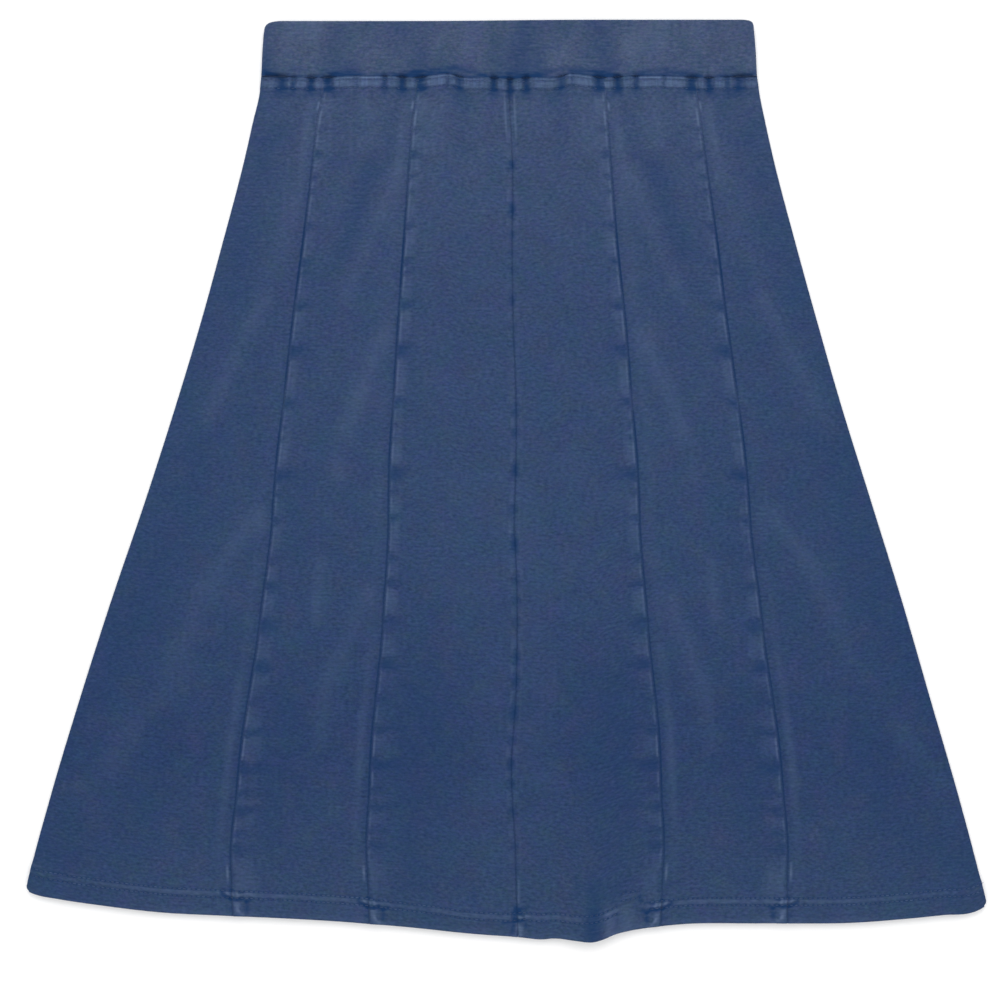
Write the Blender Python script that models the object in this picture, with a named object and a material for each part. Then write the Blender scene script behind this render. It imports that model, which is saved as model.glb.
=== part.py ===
# Pull-on A-line skirt of washed stretch denim, laid flat with its front up.
# An elastic waistband over six front gores and six back gores, in metres.
# +Y points to the waist, +Z is up, and the back of the skirt lies on z = 0.

import math
from bisect import bisect_right

import bmesh
import bpy
import numpy as np

# Cloth and seams
CLOTH = 0.0012  # one layer of the knit denim
SEAM_GAP = 0.0003  # between pieces that are sewn to each other
TURN_UP = 0.0150  # depth of the hem that is folded inside

# Waistband
BAND_WALL = 0.0026  # two layers of cloth round the elastic
BAND_HOLLOW = 0.0008  # left between the front and the back of the band
BAND_DEPTH = 2 * BAND_WALL + BAND_HOLLOW
BAND_HEIGHT = 0.0350
BAND_RIPPLE = 0.0002  # waves of the elastic along the front
BAND_RIPPLE_LENGTH = 0.0360
FRONT_STATIONS = 26  # along the front of the ring, along its back, and round each fold
BACK_STATIONS = 12
FOLD_STATIONS = 6

# How the front lies on the back
SKIRT_LENGTH = 0.5756
WAIST = BAND_HEIGHT + SEAM_GAP  # drop of the gores' upper edge
BACK_HEM_SHORT = 0.0010  # the back hem is hidden this far inside the front one
LOFT = 0.0008  # air between the layers, away from the side seams
LOFT_REACH = 0.020
WAIST_LIFT = 0.0012  # the front climbs to the face of the band
WAIST_REACH = 0.060
HEM_LIFT_START = 0.0240  # above the hem, where the front starts to climb over the turned-up back
HEM_LIFT_END = 0.0175

# Gathers under the elastic
PUFF = 0.0008  # cloth between two tucks stands up
TUCK_DEPTH = 0.0010
TUCK_HALF_WIDTH = 0.0030
TUCK_REACH = 0.0240
TUCK_ROWS = 5  # rows of the grid that the tucks are cut into
LEAST_STEP = 0.0008  # between two lines of a grid

# Grid of a gore
FRONT_CELLS = 6  # between the strips along its seams
FRONT_ROWS = 19
BACK_CELLS = 4
BACK_ROWS = 12
HEM_STEPS = 3  # trials to find where a line meets the curved hem

# Lines down the skirt: drop from the top of the band, then the distance from the middle
# columns: drop, left side, seam 1, seam 2, seam 3, seam 4, seam 5, right side
SECTIONS = (
    (0.0350, -0.1534, -0.1141, -0.0559, 0.0013, 0.0613, 0.1178, 0.1566),
    (0.0469, -0.1547, -0.1153, -0.0569, 0.0016, 0.0622, 0.1191, 0.1584),
    (0.0625, -0.1584, -0.1184, -0.0591, 0.0024, 0.0634, 0.1213, 0.1616),
    (0.0875, -0.1641, -0.1213, -0.0609, 0.0037, 0.0653, 0.1247, 0.1672),
    (0.1375, -0.1772, -0.1272, -0.0643, 0.0042, 0.0691, 0.1316, 0.1803),
    (0.1875, -0.1909, -0.1338, -0.0678, 0.0044, 0.0744, 0.1378, 0.1941),
    (0.2375, -0.2059, -0.1394, -0.0709, 0.0047, 0.0784, 0.1447, 0.2084),
    (0.3000, -0.2259, -0.1459, -0.0739, 0.0053, 0.0830, 0.1516, 0.2278),
    (0.3625, -0.2472, -0.1528, -0.0767, 0.0057, 0.0873, 0.1583, 0.2472),
    (0.4250, -0.2672, -0.1617, -0.0819, 0.0054, 0.0932, 0.1664, 0.2653),
    (0.4875, -0.2859, -0.1694, -0.0863, 0.0056, 0.0971, 0.1734, 0.2834),
    (0.5375, -0.2991, -0.1719, -0.0866, 0.0059, 0.0972, 0.1753, 0.2966),
    (0.5750, -0.3059, -0.1697, -0.0853, 0.0072, 0.0959, 0.1753, 0.3055),
)
LEFT_SIDE, RIGHT_SIDE = 0, 6  # the lines at the side seams

# Lower edge. columns: distance from the middle, drop
HEM = (
    (-0.3003, 0.5440),
    (-0.2960, 0.5459),
    (-0.2791, 0.5494),
    (-0.2541, 0.5531),
    (-0.2166, 0.5575),
    (-0.1666, 0.5600),
    (-0.1166, 0.5625),
    (-0.0666, 0.5663),
    (-0.0166, 0.5713),
    (0.0084, 0.5731),
    (0.0222, 0.5744),
    (0.0297, 0.5738),
    (0.0434, 0.5750),
    (0.0547, 0.5756),
    (0.0609, 0.5738),
    (0.0672, 0.5713),
    (0.0747, 0.5694),
    (0.0859, 0.5675),
    (0.1084, 0.5650),
    (0.1584, 0.5644),
    (0.2209, 0.5638),
    (0.2459, 0.5619),
    (0.2709, 0.5594),
    (0.2960, 0.5557),
    (0.3003, 0.5531),
)

# Ends of the band. columns: drop, left, right
BAND_SIDES = (
    (0.0000, -0.1440, 0.1505),
    (0.0010, -0.1475, 0.1528),
    (0.0025, -0.1503, 0.1541),
    (0.0063, -0.1516, 0.1547),
    (0.0125, -0.1522, 0.1553),
    (0.0350, -0.1534, 0.1566),
)

# Section of the band's wall, round from its upper fold. columns: drop, depth from the outer face
BAND_SECTION = (
    (0.0000, 0.0013),
    (0.0006, 0.0004),
    (0.0028, 0.0000),
    (0.0115, -0.0003),
    (0.0230, -0.0003),
    (0.0315, 0.0000),
    (0.0343, 0.0005),
    (0.0350, 0.0013),
    (0.0343, 0.0026),
    (0.0175, 0.0026),
    (0.0008, 0.0026),
)

# How much a wall gains or loses in from an edge. columns: distance from the edge, rise
SIDE_EDGE = ((0.0000, -0.0005), (0.0012, -0.0001), (0.0040, 0.0000), (0.0100, 0.0000))
PLAIN_EDGE = ((0.0000, -0.0004), (0.0015, 0.0000))
FELLED_EDGE = ((0.0000, 0.0003), (0.0010, 0.0008), (0.0060, 0.0008), (0.0075, 0.0000))
OPEN_EDGE = ((0.0000, -0.0003), (0.0008, 0.0004), (0.0030, 0.0004), (0.0042, 0.0000))
WAIST_EDGE = (
    (0.0000, -0.0003),
    (0.0012, 0.0008),
    (0.0075, 0.0008),
    (0.0095, 0.0000),
    (0.0160, 0.0000),
    (0.0240, 0.0000),
)
HEM_EDGE = (
    (0.0000, CLOTH - 0.0009),
    (0.0012, CLOTH),
    (TURN_UP, CLOTH),
    (HEM_LIFT_END, 0.0000),
    (HEM_LIFT_START, 0.0000),
)
BACK_WAIST_EDGE = ((0.0000, 0.0000),)
BACK_HEM_EDGE = ((0.0000, CLOTH), (TURN_UP, CLOTH), (0.0160, 0.0000))
BACK_EDGE = ((0.0000, 0.0000),)

# Front gores from left to right. columns: left edge, right edge
FRONT_GORES = (
    (SIDE_EDGE, PLAIN_EDGE),
    (FELLED_EDGE, PLAIN_EDGE),
    (FELLED_EDGE, OPEN_EDGE),
    (OPEN_EDGE, FELLED_EDGE),
    (PLAIN_EDGE, FELLED_EDGE),
    (PLAIN_EDGE, SIDE_EDGE),
)

# Tucks that the elastic draws in. columns: distance from the middle, strength
TUCKS = (
    (-0.1441, 0.6),
    (-0.1228, 1.0),
    (-0.1122, 0.9),
    (-0.0766, 0.6),
    (-0.0647, 1.0),
    (-0.0541, 0.8),
    (-0.0303, 0.8),
    (-0.0078, 1.0),
    (0.0022, 0.9),
    (0.0119, 1.0),
    (0.0341, 0.8),
    (0.0581, 1.0),
    (0.0681, 0.9),
    (0.0803, 0.7),
    (0.1156, 1.0),
    (0.1256, 1.0),
    (0.1453, 0.8),
)

# Soft folds of the front, each a low ridge that fades at its ends
# columns: start from the middle, start drop, end from the middle, end drop, half width, height
FOLDS = (
    (-0.1528, 0.1650, -0.1884, 0.2313, 0.0130, 0.0012),
    (-0.1884, 0.2313, -0.1978, 0.2625, 0.0140, 0.0011),
    (-0.1572, 0.3094, -0.1916, 0.3500, 0.0150, 0.0012),
    (-0.1916, 0.3500, -0.2166, 0.4000, 0.0160, 0.0014),
    (-0.2166, 0.4000, -0.2572, 0.4750, 0.0180, 0.0015),
    (0.1566, 0.1650, 0.1922, 0.2313, 0.0130, 0.0012),
    (0.1922, 0.2313, 0.2016, 0.2625, 0.0140, 0.0011),
    (0.1603, 0.3094, 0.1934, 0.3500, 0.0150, 0.0012),
    (0.1934, 0.3500, 0.2184, 0.4000, 0.0160, 0.0014),
    (0.2184, 0.4000, 0.2590, 0.4750, 0.0180, 0.0015),
    (-0.0822, 0.1281, -0.1009, 0.1750, 0.0090, 0.0010),
    (-0.0791, 0.2063, -0.1041, 0.2688, 0.0110, 0.0010),
    (-0.0947, 0.3688, -0.1134, 0.4375, 0.0120, 0.0011),
    (0.0872, 0.1281, 0.1059, 0.1750, 0.0090, 0.0010),
    (0.0841, 0.2063, 0.1091, 0.2688, 0.0110, 0.0010),
    (0.0997, 0.3688, 0.1184, 0.4375, 0.0120, 0.0011),
    (-0.0825, 0.0400, -0.0838, 0.0850, 0.0045, 0.0009),
    (-0.0350, 0.0400, -0.0356, 0.0850, 0.0045, 0.0009),
    (0.0388, 0.0400, 0.0394, 0.0850, 0.0045, 0.0009),
    (0.0856, 0.0400, 0.0869, 0.0850, 0.0045, 0.0009),
    (0.0060, 0.4200, 0.0060, 0.5400, 0.0200, 0.0008),
    (0.0480, 0.5050, 0.0530, 0.5760, 0.0140, 0.0046),
)

# Colours of the washed cloth in the display's 8-bit values, and its finish
BAND_BLUE = (68, 83, 114)
FRONT_BLUE = (54, 73, 108)
BACK_BLUE = (52, 70, 105)
ROUGHNESS = 0.92
SHARP_ANGLE = 50.0  # degrees between faces, over which an edge stays sharp


def ease(value):
    """0 below 0, 1 above 1, and a soft step between them."""
    value = min(max(value, 0.0), 1.0)
    return value * value * (3.0 - 2.0 * value)


def curve(table, column, at):
    """A column's value on a smooth line through the rows, which the first column places."""
    keys = [row[0] for row in table]
    values = [row[column] for row in table]
    last = len(keys) - 1
    at = min(max(at, keys[0]), keys[-1])
    near = min(bisect_right(keys, at) - 1, last - 1)
    span = keys[near + 1] - keys[near]
    slopes = []
    for row in (near, near + 1):
        before, after = max(row - 1, 0), min(row + 1, last)
        slopes.append((values[after] - values[before]) / (keys[after] - keys[before]) * span)
    t = (at - keys[near]) / span
    ahead = t * t * (3.0 - 2.0 * t)
    leave = t * (1.0 - t) ** 2
    arrive = t * t * (t - 1.0)
    return (
        values[near] * (1.0 - ahead)
        + values[near + 1] * ahead
        + slopes[0] * leave
        + slopes[1] * arrive
    )


def seam_line(line, drop):
    """Distance from the middle of a line down the skirt, counted from the left side."""
    return curve(SECTIONS, line + 1, drop)


def hem_drop(x):
    return curve(HEM, 1, x)


def profile(edge, distance):
    """What an edge's profile adds to the wall at a distance from that edge."""
    return float(np.interp(distance, [row[0] for row in edge], [row[1] for row in edge]))


def spread(near, far, near_edge, far_edge, cells):
    """Places from near to far: the steps of each edge's profile, and even cells between."""
    start = near + near_edge[-1][0]
    end = far - far_edge[-1][0]
    places = [near + step for step, _ in near_edge]
    places += [start + (end - start) * cell / cells for cell in range(1, cells)]
    places += [far - step for step, _ in reversed(far_edge)]
    return places


def valley(x):
    """How deep in a tuck this place is, from 0 to the tuck's strength."""
    deepest = 0.0
    for middle, strength in TUCKS:
        away = min(abs(x - middle) / TUCK_HALF_WIDTH, 1.0)
        deepest = max(deepest, strength * 0.5 * (1.0 + math.cos(math.pi * away)))
    return deepest


def gathers(x, drop):
    """Lift of the cloth between the tucks, which fades away below the band."""
    fade = 1.0 - ease((drop - WAIST) / TUCK_REACH)
    return fade * (PUFF - (PUFF + TUCK_DEPTH) * valley(x))


def soft_folds(x, drop):
    """Height of the low ridges at a place, the highest where two meet."""
    lift = 0.0
    for start_x, start_drop, end_x, end_drop, half_width, height in FOLDS:
        run_x, run_drop = end_x - start_x, end_drop - start_drop
        along = (x - start_x) * run_x + (drop - start_drop) * run_drop
        along = min(max(along / (run_x**2 + run_drop**2), 0.0), 1.0)
        away = math.hypot(x - start_x - along * run_x, drop - start_drop - along * run_drop)
        lift = max(lift, height * math.exp(-((away / half_width) ** 2)))
    return lift


def front_rest(x, drop):
    """Height of the underside of the front as it lies on the back."""
    side = min(x - seam_line(LEFT_SIDE, drop), seam_line(RIGHT_SIDE, drop) - x)
    above_hem = hem_drop(x) - drop
    over_turn_up = 1.0 - ease((above_hem - HEM_LIFT_END) / (HEM_LIFT_START - HEM_LIFT_END))
    near_waist = 1.0 - ease((drop - WAIST) / WAIST_REACH)
    away_from_side = ease(side / LOFT_REACH)
    lift = LOFT + WAIST_LIFT * near_waist + gathers(x, drop) + soft_folds(x, drop)
    return CLOTH * (1.0 + over_turn_up) + SEAM_GAP + away_from_side * lift


def gore_grid(gore, left_edge, right_edge, waist_edge, hem_edge, cells, rows, hem_short):
    """An open grid for one gore, and a function from its columns and rows to places."""
    columns = len(left_edge) + len(right_edge) - 2 + cells
    lines = len(waist_edge) + len(hem_edge) - 2 + rows

    def across(drop):
        left = seam_line(gore, drop) + SEAM_GAP / 2
        right = seam_line(gore + 1, drop) - SEAM_GAP / 2
        return spread(left, right, left_edge, right_edge, cells)

    def place(column, line):
        end = SKIRT_LENGTH
        for _ in range(HEM_STEPS):
            end = hem_drop(np.interp(column, range(columns + 1), across(end))) - hem_short
        down = spread(WAIST, end, waist_edge, hem_edge, rows)
        drop = float(np.interp(line, range(lines + 1), down))
        return float(np.interp(column, range(columns + 1), across(drop))), drop

    mesh = bmesh.new()
    bmesh.ops.create_grid(mesh, x_segments=columns, y_segments=lines, size=0.5)
    for vert in mesh.verts:
        vert.co.x = (vert.co.x + 0.5) * columns
        vert.co.y = (vert.co.y - 0.5) * lines
    return mesh, across(WAIST), place


def cut_tucks(mesh, waist_places):
    """Adds a line along each tuck and each of its shoulders, in the upper rows only."""
    taken = list(waist_places)
    for middle, _ in TUCKS:
        for x in (middle, middle - TUCK_HALF_WIDTH, middle + TUCK_HALF_WIDTH):
            inside = waist_places[0] < x < waist_places[-1]
            if not inside or min(abs(x - other) for other in taken) < LEAST_STEP:
                continue
            taken.append(x)
            column = float(np.interp(x, waist_places, range(len(waist_places))))
            upper = [face for face in mesh.faces if face.calc_center_median().y > -TUCK_ROWS]
            edges = {edge for face in upper for edge in face.edges}
            verts = {vert for face in upper for vert in face.verts}
            bmesh.ops.bisect_plane(
                mesh,
                geom=[*verts, *edges, *upper],
                plane_co=(column, 0.0, 0.0),
                plane_no=(1.0, 0.0, 0.0),
            )


def thicken(mesh, place, underside, wall):
    """Lays the grid out, and makes it a closed wall between two height functions."""
    for vert in mesh.verts:
        x, drop = place(vert.co.x, -vert.co.y)
        vert.co = (x, SKIRT_LENGTH / 2 - drop, 0.0)
    extruded = bmesh.ops.extrude_face_region(mesh, geom=mesh.faces[:])
    outer = {item for item in extruded["geom"] if isinstance(item, bmesh.types.BMVert)}
    for vert in mesh.verts:
        x, drop = vert.co.x, SKIRT_LENGTH / 2 - vert.co.y
        vert.co.z = underside(x, drop)
        if vert in outer:
            vert.co.z += wall(x, drop)
    bmesh.ops.recalc_face_normals(mesh, faces=mesh.faces[:])


def linear(value):
    """A display value from 0 to 255 as the linear one that a shader takes."""
    share = value / 255.0
    return share / 12.92 if share <= 0.04045 else ((share + 0.055) / 1.055) ** 2.4


def denim(name, blue):
    material = bpy.data.materials.new(name)
    material.use_nodes = True
    shader = material.node_tree.nodes["Principled BSDF"]
    shader.inputs["Base Color"].default_value = (*(linear(part) for part in blue), 1.0)
    shader.inputs["Roughness"].default_value = ROUGHNESS
    shader.inputs["Metallic"].default_value = 0.0
    return material


def finish(piece, blue):
    """Gives a piece its material and soft shading."""
    piece.data.materials.append(denim(piece.name + "_denim", blue))
    piece.data.shade_smooth()
    piece.data.set_sharp_from_angle(angle=math.radians(SHARP_ANGLE))


def add_piece(collection, name, mesh, blue):
    data = bpy.data.meshes.new(name)
    mesh.to_mesh(data)
    mesh.free()
    piece = bpy.data.objects.new(name, data)
    collection.objects.link(piece)
    finish(piece, blue)


def front_gore(collection, gore):
    left_edge, right_edge = FRONT_GORES[gore]
    mesh, waist_places, place = gore_grid(
        gore, left_edge, right_edge, WAIST_EDGE, HEM_EDGE, FRONT_CELLS, FRONT_ROWS, 0.0
    )
    cut_tucks(mesh, waist_places)

    def wall(x, drop):
        return (
            CLOTH
            + profile(left_edge, x - seam_line(gore, drop) - SEAM_GAP / 2)
            + profile(right_edge, seam_line(gore + 1, drop) - SEAM_GAP / 2 - x)
            + profile(WAIST_EDGE, drop - WAIST)
            + profile(HEM_EDGE, hem_drop(x) - drop)
        )

    thicken(mesh, place, front_rest, wall)
    add_piece(collection, f"front_gore_{gore + 1}", mesh, FRONT_BLUE)


def back_gore(collection, gore):
    """The same cut as the front one above it, flat on the surface."""
    mesh, _, place = gore_grid(
        gore,
        BACK_EDGE,
        BACK_EDGE,
        BACK_WAIST_EDGE,
        BACK_HEM_EDGE,
        BACK_CELLS,
        BACK_ROWS,
        BACK_HEM_SHORT,
    )

    def wall(x, drop):
        return CLOTH + profile(BACK_HEM_EDGE, hem_drop(x) - BACK_HEM_SHORT - drop)

    thicken(mesh, place, lambda x, drop: 0.0, wall)
    add_piece(collection, f"back_gore_{gore + 1}", mesh, BACK_BLUE)


def ring_place(station, drop, depth):
    """A point of the flattened ring: stations run over the front, round, and under the back."""
    radius = BAND_DEPTH / 2
    reach = radius - depth
    left = curve(BAND_SIDES, 1, drop) + radius
    right = curve(BAND_SIDES, 2, drop) - radius
    if station <= FRONT_STATIONS:
        x = left + (right - left) * station / FRONT_STATIONS
        ripple = BAND_RIPPLE * math.sin(2 * math.pi * x / BAND_RIPPLE_LENGTH)
        return x, radius + reach + (ripple if depth <= 0.0 else 0.0)
    station -= FRONT_STATIONS
    if station <= FOLD_STATIONS:
        angle = math.pi / 2 - math.pi * station / FOLD_STATIONS
        return right + reach * math.cos(angle), max(radius + reach * math.sin(angle), 0.0)
    station -= FOLD_STATIONS
    if station <= BACK_STATIONS:
        return right + (left - right) * station / BACK_STATIONS, max(radius - reach, 0.0)
    station -= BACK_STATIONS
    angle = -math.pi / 2 - math.pi * station / FOLD_STATIONS
    return left + reach * math.cos(angle), max(radius + reach * math.sin(angle), 0.0)


def waistband(collection):
    """One flattened ring, from a torus whose small turns follow the wall's section."""
    stations = FRONT_STATIONS + BACK_STATIONS + 2 * FOLD_STATIONS
    bpy.ops.mesh.primitive_torus_add(
        major_segments=stations, minor_segments=len(BAND_SECTION)
    )
    piece = bpy.context.active_object
    piece.name = piece.data.name = "waistband"
    for owner in list(piece.users_collection):
        owner.objects.unlink(piece)
    collection.objects.link(piece)
    mesh = bmesh.new()
    mesh.from_mesh(piece.data)
    mesh.verts.ensure_lookup_table()
    for vert in mesh.verts:
        station, corner = divmod(vert.index, len(BAND_SECTION))
        drop, depth = BAND_SECTION[corner]
        x, z = ring_place(station, drop, depth)
        vert.co = (x, SKIRT_LENGTH / 2 - drop, z)
    bmesh.ops.recalc_face_normals(mesh, faces=mesh.faces[:])
    mesh.to_mesh(piece.data)
    mesh.free()
    finish(piece, BAND_BLUE)


def main():
    for old in list(bpy.data.objects):
        bpy.data.objects.remove(old)
    collection = bpy.data.collections.new("denim_skirt")
    bpy.context.scene.collection.children.link(collection)
    waistband(collection)
    for gore in range(len(FRONT_GORES)):
        front_gore(collection, gore)
        back_gore(collection, gore)


main()
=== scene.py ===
# Looks of a pull-on A-line skirt of washed stretch denim, laid flat with its front up, in metres.
# Each cloth piece stands for one solid of the frame and keeps its form, with the finer folds,
# the sewing, the wear, and painted light and shade on it. A place is x from the middle and the drop from
# the band's top.

import math

import bmesh
import bpy
import numpy as np
from mathutils import Matrix, Vector


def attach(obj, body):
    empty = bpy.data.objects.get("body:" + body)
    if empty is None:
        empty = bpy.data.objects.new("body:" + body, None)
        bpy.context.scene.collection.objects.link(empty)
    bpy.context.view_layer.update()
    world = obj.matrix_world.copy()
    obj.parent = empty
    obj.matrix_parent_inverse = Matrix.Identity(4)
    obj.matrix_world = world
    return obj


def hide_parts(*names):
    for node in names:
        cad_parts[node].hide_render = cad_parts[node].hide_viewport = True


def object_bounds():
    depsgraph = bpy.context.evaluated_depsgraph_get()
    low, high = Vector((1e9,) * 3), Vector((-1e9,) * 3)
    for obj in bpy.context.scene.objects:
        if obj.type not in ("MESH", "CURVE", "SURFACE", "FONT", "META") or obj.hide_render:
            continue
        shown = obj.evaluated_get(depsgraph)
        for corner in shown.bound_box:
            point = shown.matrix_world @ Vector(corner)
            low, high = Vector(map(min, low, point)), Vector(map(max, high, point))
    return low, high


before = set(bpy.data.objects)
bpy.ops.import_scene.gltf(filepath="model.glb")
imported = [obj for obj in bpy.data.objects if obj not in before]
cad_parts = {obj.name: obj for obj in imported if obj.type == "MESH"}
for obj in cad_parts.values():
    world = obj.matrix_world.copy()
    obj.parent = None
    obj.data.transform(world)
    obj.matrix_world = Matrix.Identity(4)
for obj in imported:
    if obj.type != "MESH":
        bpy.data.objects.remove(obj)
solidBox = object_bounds()
topLine = solidBox[1].y  # height of the band's upper fold in the frame
print("frame loaded with", len(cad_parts), "solids")

skirt = {
    "length": solidBox[1].y - solidBox[0].y,
    "cloth": 0.0012,  # one layer of the knit denim
    "seamGap": 0.00002,  # between pieces that are sewn to each other
    "layerGap": 0.0003,  # between the front and the back along the side seams
    "backSlip": 0.0015,  # the back's seams lie this far beside the front's
    "turnUp": 0.0165,  # hem folded inside
    "loft": 0.0008,  # air between the layers, away from the side seams
    "loftReach": 0.02,
    "waistLift": 0.0012,  # the front climbs to the face of the band
    "waistReach": 0.06,
    "hemLiftStart": 0.024,  # above the hem, where the front climbs over the turned-up back
    "hemLiftEnd": 0.0175,
    "backHemShort": 0.001,
    "corner": 0.0034,  # rounding where a side seam meets the hem
    "swell": 0.00016,  # uneven lie of the cloth everywhere
    "middle": 0.0022,  # x about which the two halves of the waist are alike
    "patternLength": 0.54,  # of the cloth's pattern, which runs down every gore alike
}


def metres(lengths, rows):  # a table whose first columns are written in millimetres
    return [
        tuple(round(value / 1000, 7) if place < lengths else value for place, value in enumerate(row))
        for row in rows
    ]


# The tables are in millimetres, apart from their last columns of shades and strengths.
# Lines down the skirt. columns: drop, left side, seams 1 to 5 (3 is the centre one), right side
seamRows = metres(8, [
    (35, -153.4, -114.1, -55.9, 1.3, 61.3, 117.8, 156.6),
    (46.9, -154.7, -115.3, -56.9, 1.6, 62.2, 119.1, 158.4),
    (62.5, -158.4, -118.4, -59.1, 2.4, 63.4, 121.3, 161.6),
    (87.5, -164.1, -121.3, -60.9, 3.7, 65.3, 124.7, 167.2),
    (137.5, -177.2, -127.2, -64.3, 4.2, 69.1, 131.6, 180.3),
    (187.5, -190.9, -133.8, -67.8, 4.4, 74.4, 137.8, 194.1),
    (237.5, -205.9, -139.4, -70.9, 4.7, 78.4, 144.7, 208.4),
    (300, -225.9, -145.9, -73.9, 5.3, 83, 151.6, 227.8),
    (362.5, -247.2, -152.8, -76.7, 5.7, 87.3, 158.3, 247.2),
    (425, -267.2, -161.7, -81.9, 5.4, 93.2, 166.4, 265.3),
    (487.5, -285.9, -169.4, -86.3, 5.6, 97.1, 173.4, 283.4),
    (537.5, -299.1, -171.9, -86.6, 5.9, 97.2, 175.3, 296.6),
    (575, -305.9, -169.7, -85.3, 7.2, 95.9, 175.3, 305.5),
])

# Lower edge. columns: x, drop
hemRows = metres(2, [
    (-300.3, 544), (-296, 545.9), (-279.1, 549.4), (-254.1, 553.1), (-216.6, 557.5), (-166.6, 560),
    (-116.6, 562.5), (-66.6, 566.3), (-16.6, 571.3), (8.4, 573.1), (22.2, 574.4), (29.7, 573.8),
    (43.4, 575), (54.7, 575.6), (60.9, 573.8), (67.2, 571.3), (74.7, 569.4), (85.9, 567.5),
    (108.4, 565), (158.4, 564.4), (220.9, 563.8), (245.9, 561.9), (270.9, 559.4), (296, 555.7),
    (300.3, 553.1),
])

# Lower edge of the band, which the gathers push up and down. columns: x, drop
waistRows = metres(2, [
    (-153.4, 35), (-138.4, 35.6), (-116.6, 36.2), (-100.9, 35.3), (-72.8, 35.3), (-54.1, 35.9),
    (-45, 34.6), (-34.7, 33.9), (-30, 35.4), (-10.3, 36.1), (2.8, 37), (14.7, 36.1), (34, 35.4),
    (38.6, 33.9), (49, 34.6), (57.8, 35.9), (76.6, 35.3), (104.7, 35.3), (120.3, 36.2), (142.2, 35.6),
    (156.6, 35),
])

# How far seams 1, 2, 4 and 5 wander from their lines. columns: drop, outwards
seamWander = metres(2, [
    (237.5, 0), (280, 0.5), (300, 0), (318, -0.7), (340, -0.5), (362.5, 0), (393, -0.4), (425, 0.2),
    (443, 0.6), (465, 0.3), (487.5, 0), (505, 0.8), (519, 1), (535, 0.2), (560, 0),
])

# The same for the centre seam. columns: drop, towards the right
centreWander = metres(2, [
    (90, 0), (160, -0.7), (190, -0.2), (237.5, 1.2), (255, 1.2), (285, 0.5), (315, -0.6),
    (337.5, 0.2), (365, 0.9), (395, 0.9), (425, 0.3), (442, -0.8), (460, -2.3), (490, -1.8),
    (515, -0.3), (550, 0),
])

# Ends of the band. columns: drop, left, right
bandSides = metres(3, [
    (0, -143.6, 149.8), (0.4, -146.2, 151.9), (1.2, -148.7, 153.4), (3, -150.7, 154.3),
    (6.3, -151.6, 154.7), (12.5, -152.2, 155.3), (35, -153.4, 156.6),
])

# Tucks that the elastic draws in, alike on both halves. columns: distance from the middle,
# half width, strength
tucks = metres(2, [
    (0, 1.5, 1), (10, 1.7, 1), (31.9, 2.6, 0.6), (39.1, 0.6, 0.22), (55.6, 3, 1), (67.2, 2.1, 1),
    (78.4, 1.4, 0.6), (96.2, 0.6, 0.18), (113.6, 3, 1), (124.2, 2.1, 1), (135.3, 1.5, 0.55),
    (142.5, 3.2, 0.8),
])

# Puffs between the tucks that the wash has paled. columns: start, end, strength
puffs = metres(2, [
    (1.9, 8.4, 0.8), (13.2, 21.5, 0.7), (21.2, 29.4, 0.95), (34.4, 38.8, 0.8), (39.4, 52, 1),
    (58.8, 64.6, 0.8), (69.8, 76.4, 0.66), (80.3, 95.8, 0.8), (96.6, 110.4, 1), (116.6, 121.9, 0.8),
    (126.6, 134.1, 0.8), (136.9, 140, 0.5), (148, 155, 0.6),
])

# Where the fold of the waist seam catches the light, painted as a highlight. columns: start, end, strength
brightFolds = metres(2, [
    (13.1, 30, 0.35), (34.4, 51.6, 0.65), (79.4, 95, 0.95), (96.6, 110, 0.55), (148.8, 155, 0.4),
])

# Puckers beside those four, where the allowance dips. columns: drop, half length, reach, strength
puckers = metres(3, [
    (68.1, 3, 8, 0.6), (84.4, 4.2, 8, 0.95), (97.5, 3.6, 7.5, 0.8), (108.1, 3.4, 6.5, 0.75),
    (128.8, 5.2, 8.5, 0.9), (150.6, 4.8, 9, 1), (158.1, 3, 10, 0.6), (178.1, 5, 13, 1),
    (206.3, 6.6, 14, 1.15), (239.4, 4.4, 9, 1), (253.1, 3, 5, 0.4), (261.3, 3.4, 6, 0.4),
    (283.8, 6.2, 15, 1.15), (295.6, 3.4, 7, 0.6), (311.3, 4.4, 9.5, 0.75), (336.3, 4, 7.5, 0.6),
    (353.1, 5, 13, 0.9), (377.5, 6.8, 12, 0.9), (403.8, 6, 12.5, 1.1), (425, 4.6, 8, 0.5),
    (443.8, 3.4, 12, 0.65), (466.3, 5.2, 12, 1), (482.5, 3.8, 10, 0.5), (492.5, 4.4, 12, 0.8),
    (507.5, 3.4, 8.5, 0.6), (516.9, 4, 8.5, 0.8),
])

# How dark their ditch is, painted shade with deeper dye, and how worn their ridge.
# columns: drop, ditch, ridge
seamWear = metres(1, [
    (44, 0, 1.6), (49.5, 0, 1.4), (53, 0, 0.2), (59, 0.05, 1.9), (66, 0.15, 1.8), (81, 0.4, 0.8),
    (112.5, 0.7, 1.15), (129, 1.05, 0.65), (145, 1.4, 1.25), (159, 1.35, 1.3), (175, 0.8, 0.8),
    (191, 1, 1.25), (206, 0.85, 0.6), (222, 1.05, 1.1), (239, 0.3, 0.35), (253, 1.05, 0.9),
    (269, 1.15, 1.25), (285, 0.9, 0.9), (300, 0.95, 0.95), (330, 0.85, 0.7), (362.5, 0.8, 1.1),
    (378, 0.65, 0.55), (409, 1, 0.95), (425, 0.8, 0.65), (456, 1.2, 1.3), (472, 1.1, 1.1),
    (487.5, 0.8, 0.55), (503, 0.9, 0.9), (519, 0.8, 0.8), (530, 0.6, 0.3), (540, 0.45, 0),
])

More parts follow.
